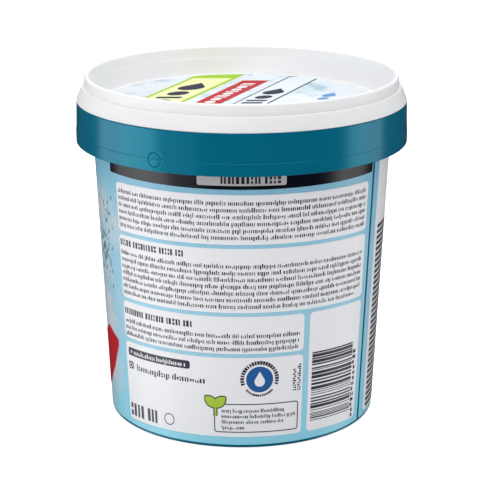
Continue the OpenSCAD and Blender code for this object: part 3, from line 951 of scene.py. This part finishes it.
def make_marks():
    """bold strokes, a small sign, the marks round the disc and the upright columns of marks"""
    parts = [
        stroke_row(-54.0, -36.2, 9.2, cap=5.4, bold=True, narrow=0.62),
        flat_outline("ring_sign", ring_outline(along(-31.4), 9.6, 2.5, 0.4), *INK_LAYER),
        field("icon", -53.6, -50.6, 26.8, 29.8, *INK_LAYER, 0.5),
        stroke_row(-7.6, 15.4, BAND_Z + 3.6, cap=2.7, bold=True, narrow=0.8, low=0.15, high=0.2),
        mark_column(21.0, 1.4, 23.3, 33.0, 0.95),
        mark_column(23.0, 1.4, 23.3, 35.0, 0.95),
        mark_column(52.2, 1.9, 5.6, 37.2, 2.3),
    ]
    x, z = along(ROUND_SIGN_A), ROUND_SIGN_Z
    upper, lower = (-16, 196, 24, 6.25, 7.75, 1), (222, 318, 16, 6.3, 7.2, 0.7)
    for start, end, count, inner, outer, thick in (upper, lower):
        for i in range(count):
            turn = start + (end - start) * i / (count - 1)
            wide = ink_rng.choice((2.6, 3.3, 3.9)) * thick
            corners = arc(x, z, outer, turn - wide, turn + wide, 1)
            corners += arc(x, z, inner, turn + wide, turn - wide, 1)
            parts.append(flat_outline("ring_mark", corners, *INK_LAYER))
    dressed(smooth(on_wall(joined("marks", parts)), 30), PRINT["grey"], "print_grey", "tub")


def make_pale_marks():
    """strokes on the caption bar and a sign in the icon"""
    low, high = TOP_LAYER
    x, z = along(-51.9), LOW_Z + 29.2
    parts = [
        stroke_row(-49.8, -22.6, z, cap=1.9, low=low, high=high),
        flat_outline("arrow", [(x, z - 0.8), (x + 1.2, z), (x, z + 0.8)], low, high),
        flat_outline("icon_sign", ring_outline(along(-52.1), 28.3, 1.0, 0.35), low, high),
    ]
    dressed(smooth(on_wall(joined("pale_marks", parts)), 30), PRINT["white"], "print_white", "tub")


def make_drops():
    """dark drops scattered over the pale splash on the film"""
    parts = []
    for i in range(80):
        a, z = ink_rng.gauss(-71, 5), ink_rng.triangular(50, 104, 76)
        long, lean = ink_rng.uniform(0.3, 1.4), ink_rng.uniform(-0.7, 0.7)
        wide = 0.3 * long
        if a > -60:
            continue
        spot = []
        for k in range(10):
            t = 2 * math.pi * k / 10
            u, v = wide * math.cos(t), long * math.sin(t)
            spot.append((along(a) + u + v * math.sin(lean), z + v * math.cos(lean)))
        parts.append(flat_outline("drop", spot, -0.02, 0.04))
    dressed(smooth(on_wall(joined("drops", parts), bow=0), 30), PRINT["grey"], "print_grey", "tub")


# Lid


def lid_outline():
    crest = 0.95
    channel = SHOULDER_Z - LID_T
    lock_low, lock_high = RIM_Z - 3.4, RIM_Z - 2.4
    lock_r = rim_in(RIM_Z - 0.8) + 2.02
    under = PANEL_Z - LID_T
    return (
        [(0, under), (plug_r(under) - 1, under), (plug_r(under + 0.8), under + 0.8)]
        + [(plug_r(channel - 0.3), channel - 0.3), (plug_r(channel) + 0.3, channel)]
        + [(lid_in(channel) - 0.5, channel), (lid_in(channel - 0.5), channel - 0.5)]
        + [(lid_in(lock_high + 1), lock_high + 1), (lock_r, lock_high), (lock_r, lock_low + 0.4)]
        + [(lid_in(lock_low), lock_low), (lid_in(SEAT_Z) + 0.2, SEAT_Z)]
        + [(COLLAR_R - 0.15, SEAT_Z), (COLLAR_R, SEAT_Z + 0.2)]
        + arc(NECK_R + 0.62, SHOULDER_Z - 0.55, 0.6, 22, 100, 7)
        + [(NECK_R + 0.1, SHOULDER_Z - 0.04), (NECK_R - 0.08, SHOULDER_Z + 0.06)]
        + [(NECK_R - 0.12, SHOULDER_Z + 0.3), (NECK_R, SHOULDER_Z + 0.9)]
        + arc(NECK_R - crest, CREST_Z - crest, crest, 0, 180, 14)
        + [(CREST_IN - 0.06, STEP_Z + 0.9), (CREST_IN - 0.3, STEP_Z + 0.5), (STEP_R + 0.1, STEP_Z)]
        + [(STEP_R - 0.08, STEP_Z - 0.4), (PANEL_R + RECESS_SLOPE * 0.6, PANEL_Z + 0.6)]
        + [(PANEL_R - 0.15, PANEL_Z + 0.15), (PANEL_R - 0.6, PANEL_Z)]
        + [(DISC_R + FILM_FIT, PANEL_Z), (DISC_R + FILM_FIT, PANEL_Z - FILM_T)]
        + [(30, PANEL_Z - FILM_T), (0, PANEL_Z - FILM_T)]
    )


def make_lid():
    lid = smooth(spun("lid", lid_outline()), 35)
    return dressed(lid, LID_PLASTIC, "lid_plastic", "lid", "lid")


def stripe_corners(x, w, r, steps=10):
    """outline of a slanted stripe that ends on a circle"""

    def where(start, upper):
        a = 1 + LID_SLANT * LID_SLANT
        b = LID_SLANT * start
        root = math.sqrt(b * b - a * (start * start - r * r))
        y = (-b + (root if upper else -root)) / a
        return start + LID_SLANT * y, y

    corners = []
    low_left, low_right = where(x, False), where(x + w, False)
    top_right, top_left = where(x + w, True), where(x, True)
    for first, last in ((low_left, low_right), (top_right, top_left)):
        t0, t1 = math.atan2(first[1], first[0]), math.atan2(last[1], last[0])
        if t1 - t0 < -math.pi:
            t1 += 2 * math.pi
        for i in range(steps + 1):
            t = t0 + (t1 - t0) * i / steps
            corners.append((r * math.cos(t), r * math.sin(t)))
    return corners


def on_lid(piece, x):
    """lays a flat print along a slanted stripe, with Y across the stripe from its left side"""
    for vertex in piece.data.vertices:
        v, across, z = vertex.co
        vertex.co = (x * MM + across + LID_SLANT * v, v, z)
    return closed_up(piece, merge=0.0005)


def lid_row(x, w, start, end, r, low, kinds="drop dot bar dot"):
    """a row of drops, dots and short bars along the middle of a stripe"""
    parts, place, i = [], start, 0
    kinds = kinds.split()
    while place + 3 * r < end:
        kind = kinds[i % len(kinds)]
        if kind == "drop":
            outline = [(place + 2.9 * r, w / 2)] + arc(place + r, w / 2, r, 62, 298, 16)
            place += 3.0 * r
        elif kind == "dot":
            outline = arc(place + 0.8 * r, w / 2, 0.8 * r, 0, 350, 35)
            place += 2.1 * r
        else:
            outline = rounded_box(place, place + 0.6 * r, w / 2 - r, w / 2 + r, 0.2 * r)
            place += 1.1 * r
        parts.append(flat_outline("lid_motif", outline, low, low + 0.06))
        i += 1
    return on_lid(joined("lid_row", parts), x)


def lid_field(x0, x1, v0, v1, low):
    """a slanted field between two distances across and along the lid"""
    corners = [(v0, x0), (v1, x0), (v1, x1), (v0, x1)]
    return on_lid(flat_outline("lid_field", corners, low, low + 0.03), 0)


def make_lid_film():
    z0, z1 = PANEL_Z - FILM_T, PANEL_Z
    disc = flat_outline("lid_label", arc(0, 0, DISC_R, 0, 360 * 179 / 180, 179), z0, z1)
    dressed(smooth(disc, 30), LID_FILM, "lid_film", "lid", "lid_label")
    top = z1 + 0.05
    over = top - 0.01
    for name, x, w in (("lime", -42, 20), ("red", -17, 11), ("navy", -1, 14)):
        stripe = flat_outline("lid_" + name, stripe_corners(x, w, DISC_R - 0.6), z0, top)
        dressed(stripe, LID_PRINT[name], "print_" + name, "lid", "lid_" + name)
    fields = [
        ("yellow", "lid_film", [lid_field(-40.2, -23.8, -24, 47, over)]),
        ("water", "lid_film", [lid_field(-0.2, 12.2, -50, 50, over), lid_field(-18, -5, 42, 56, over)]),
        ("navy", "print_navy", [
            lid_row(-42, 20, -22, 46, 5.2, top),
            lid_row(-1, 14, -36, 30, 4.2, top, "dot drop dot bar bar"),
        ]),
        ("white", "print_white", [lid_row(-17, 11, -38, 42, 2.6, over, "dot bar dot dot bar bar")]),
        ("pale_blue", "print_blue", [lid_row(26, 10, 2, 24, 2.8, z1 - 0.01, "dot drop")]),
    ]
    for color, slot, parts in fields:
        dressed(joined("lid_print_" + color, parts), LID_PRINT[color], slot, "lid")


# Powder and scoop


def place_scoop(piece):
    """lays a piece of the scoop where the scoop rests in the powder"""
    tilt, turn = math.radians(SCOOP_TILT), math.radians(SCOOP_TURN)
    for vertex in piece.data.vertices:
        x, y, z = vertex.co
        x, z = x * math.cos(tilt) + z * math.sin(tilt), z * math.cos(tilt) - x * math.sin(tilt)
        x, y = x * math.cos(turn) - y * math.sin(turn), x * math.sin(turn) + y * math.cos(turn)
        vertex.co = Vector((x, y, z)) + Vector(SCOOP_PLACE) * MM
    return piece


def make_scoop():
    rim = 0.5
    cup = spun(
        "scoop_cup",
        [(0, 0), (CUP_FOOT_R - 0.8, 0)]
        + arc(CUP_FOOT_R - 0.8, 0.8, 0.8, -90, 0, 4)
        + [(CUP_R, CUP_H - rim)]
        + arc(CUP_R - rim, CUP_H - rim, rim, 0, 180, 8)
        + [(CUP_FOOT_R - SCOOP_T, SCOOP_T + 0.6), (CUP_FOOT_R - SCOOP_T - 0.6, SCOOP_T), (0, SCOOP_T)],
        steps=96,
    )
    thick = 2.0
    half = HANDLE_W / 2
    end = CUP_R + HANDLE_L - half
    corners = [(CUP_R - 1, -half), (end, -half)] + arc(end, 0, half, -90, 90, 24)[1:-1]
    corners += [(end, half), (CUP_R - 1, half)]
    handle = flat_outline("scoop_handle", corners, CUP_H - thick, CUP_H - 0.02)
    apply_modifier(handle, "BEVEL", width=0.35 * MM, segments=2, limit_method="ANGLE")
    rib_corners = rounded_box(CUP_R - 1, CUP_R - 1 + HANDLE_L - HANDLE_W, -0.6, 0.6, 0)
    rib = flat_outline("scoop_rib", rib_corners, CUP_H - 5, CUP_H - 1)
    apply_modifier(rib, "BEVEL", width=0.2 * MM, segments=2, limit_method="ANGLE")
    scoop = smooth(place_scoop(joined("scoop", [cup, handle, rib])), 35)
    return dressed(scoop, SCOOP_PLASTIC, "scoop_plastic", "tub", "scoop")


def make_powder():
    low = FLOOR_Z + 0.15
    corner = 2.25
    side = wall_r(FLOOR_Z + 2.4) - TUB_T - 0.15
    heap_r = wall_r(POWDER_Z) - TUB_T - 0.15
    rings = 40
    heap = []
    for i in range(rings + 1):
        share = 1 - i / rings
        heap.append((heap_r * share, POWDER_Z + HEAP_H * (1 - share * share)))
    outline = [(0, low)] + arc(side - corner, low + corner, corner, -90, 0, 4) + heap
    powder = spun("powder", outline, steps=160)
    grain_rng = random.Random(5)
    for vertex in powder.data.vertices:
        if vertex.co.z / MM > POWDER_Z + 0.1:
            vertex.co.z += grain_rng.uniform(-0.22, 0.22) * MM
    gap = 0.3
    dent = [(0, -gap), (CUP_FOOT_R + gap, -gap), (CUP_R + gap, CUP_H + gap), (0, CUP_H + gap)]
    cutter = place_scoop(spun("scoop_dent", dent, steps=96))
    apply_modifier(powder, "BOOLEAN", object=cutter, operation="DIFFERENCE", solver="EXACT")
    bpy.data.objects.remove(cutter)
    return dressed(smooth(powder, 60), POWDER, "powder", "tub", "powder")


make_tub()
make_film()
make_panels()
make_band()
make_grey_print()
make_pennant()
make_disc()
make_sprout()
make_small_print()
make_side_print()
make_marks()
make_pale_marks()
make_drops()
make_lid()
make_lid_film()
make_scoop()
make_powder()


# Floor, lights and camera


def stage_material():
    """pale floor that the camera sees as white, with the object's shadow kept"""
    material = bpy.data.materials.new("pale_floor")
    material.use_nodes = True
    tree = material.node_tree
    tree.nodes.clear()
    out = add_node(tree, "ShaderNodeOutputMaterial")
    diffuse = add_node(tree, "ShaderNodeBsdfDiffuse", Color=(0.86, 0.86, 0.86, 1))
    glow = add_node(tree, "ShaderNodeEmission", Color=(1, 1, 1, 1))
    path = add_node(tree, "ShaderNodeLightPath")
    seen = math_node(tree, "MAXIMUM", path.outputs["Is Camera Ray"], path.outputs["Is Transmission Ray"])
    tree.links.new(math_node(tree, "MULTIPLY", seen, 0.6), glow.inputs["Strength"])
    both = add_node(tree, "ShaderNodeAddShader")
    tree.links.new(diffuse.outputs[0], both.inputs[0])
    tree.links.new(glow.outputs[0], both.inputs[1])
    tree.links.new(both.outputs[0], out.inputs["Surface"])
    return material


def make_floor():
    deselect()
    bpy.ops.mesh.primitive_circle_add(vertices=96, radius=6, fill_type="NGON")
    floor = bpy.context.object
    floor.name = "floor"
    floor.data.materials.append(stage_material())
    floor.visible_glossy = False


def make_world():
    world = bpy.data.worlds.new("studio")
    bpy.context.scene.world = world
    world.use_nodes = True
    tree = world.node_tree
    tree.nodes.clear()
    out = add_node(tree, "ShaderNodeOutputWorld")
    soft = add_node(tree, "ShaderNodeBackground", Color=(0.97, 0.98, 1, 1), Strength=0.5)
    white = add_node(tree, "ShaderNodeBackground", Color=(1, 1, 1, 1))
    path = add_node(tree, "ShaderNodeLightPath")
    seen = math_node(tree, "MAXIMUM", path.outputs["Is Camera Ray"], path.outputs["Is Transmission Ray"])
    faint = math_node(tree, "MULTIPLY", path.outputs["Is Glossy Ray"], 0.025)
    tree.links.new(math_node(tree, "MAXIMUM", seen, faint), white.inputs["Strength"])
    seen = math_node(tree, "MAXIMUM", seen, path.outputs["Is Glossy Ray"])
    both = add_node(tree, "ShaderNodeMixShader")
    tree.links.new(seen, both.inputs[0])
    tree.links.new(soft.outputs[0], both.inputs[1])
    tree.links.new(white.outputs[0], both.inputs[2])
    tree.links.new(both.outputs[0], out.inputs["Surface"])


def soft_box(name, place, target, width, height, power):
    deselect()
    bpy.ops.object.light_add(type="AREA", location=place)
    lamp = bpy.context.object
    lamp.name = name
    lamp.data.shape = "RECTANGLE"
    lamp.data.size = width
    lamp.data.size_y = height
    lamp.data.energy = power
    lamp.rotation_euler = (Vector(target) - Vector(place)).to_track_quat("-Z", "Y").to_euler()


def side_box(name, first, last, brightness, low=-0.65, high=0.2, reach=0.75):
    """an upright box that stands between two angles, as seen from the object"""
    middle, half = math.radians((first + last) / 2), math.radians((last - first) / 2)
    width = 2 * reach * math.tan(half)
    z = (low + high) / 2
    power = math.pi * width * (high - low) * brightness
    place = (reach * math.sin(middle), -reach * math.cos(middle), z)
    soft_box(name, place, (0, 0, z), width, high - low, power)


def make_lights():
    middle = (0, 0, 0.1)
    side_box("left_rear_box", -109, -88, 1.8, high=0.18)
    side_box("left_front_box", -88, -57, 2.8, high=0.18)
    side_box("left_wing_box", -57, -29, 0.6, high=0.15)
    side_box("right_front_box", 73, 91, 2.15, high=0.26)
    side_box("right_rear_box", 91, 107, 1.5, high=0.26)
    soft_box("front_box", (-0.28, -0.72, 0.92), middle, 0.8, 0.6, 3.55)
    soft_box("top_box", (0.05, 0.15, 1.0), middle, 0.9, 0.9, 4.8)
    soft_box("back_box", (0.0, 0.9, 0.6), middle, 0.8, 0.6, 2.2)


def make_camera():
    """the photograph's view, worked out from the rim, collar and base circles"""
    deselect()
    bpy.ops.object.camera_add(location=(0, -0.6913, 0.2709))
    camera = bpy.context.object
    camera.name = "camera"
    camera.rotation_euler = (math.radians(90 - 16.27), 0, 0)
    camera.data.lens = 131.68
    camera.data.sensor_width = 36
    camera.data.shift_x = -0.0035
    camera.data.clip_end = 50
    bpy.context.scene.camera = camera


make_floor()
make_world()
make_lights()
make_camera()
bpy.context.scene.view_settings.view_transform = "Standard"
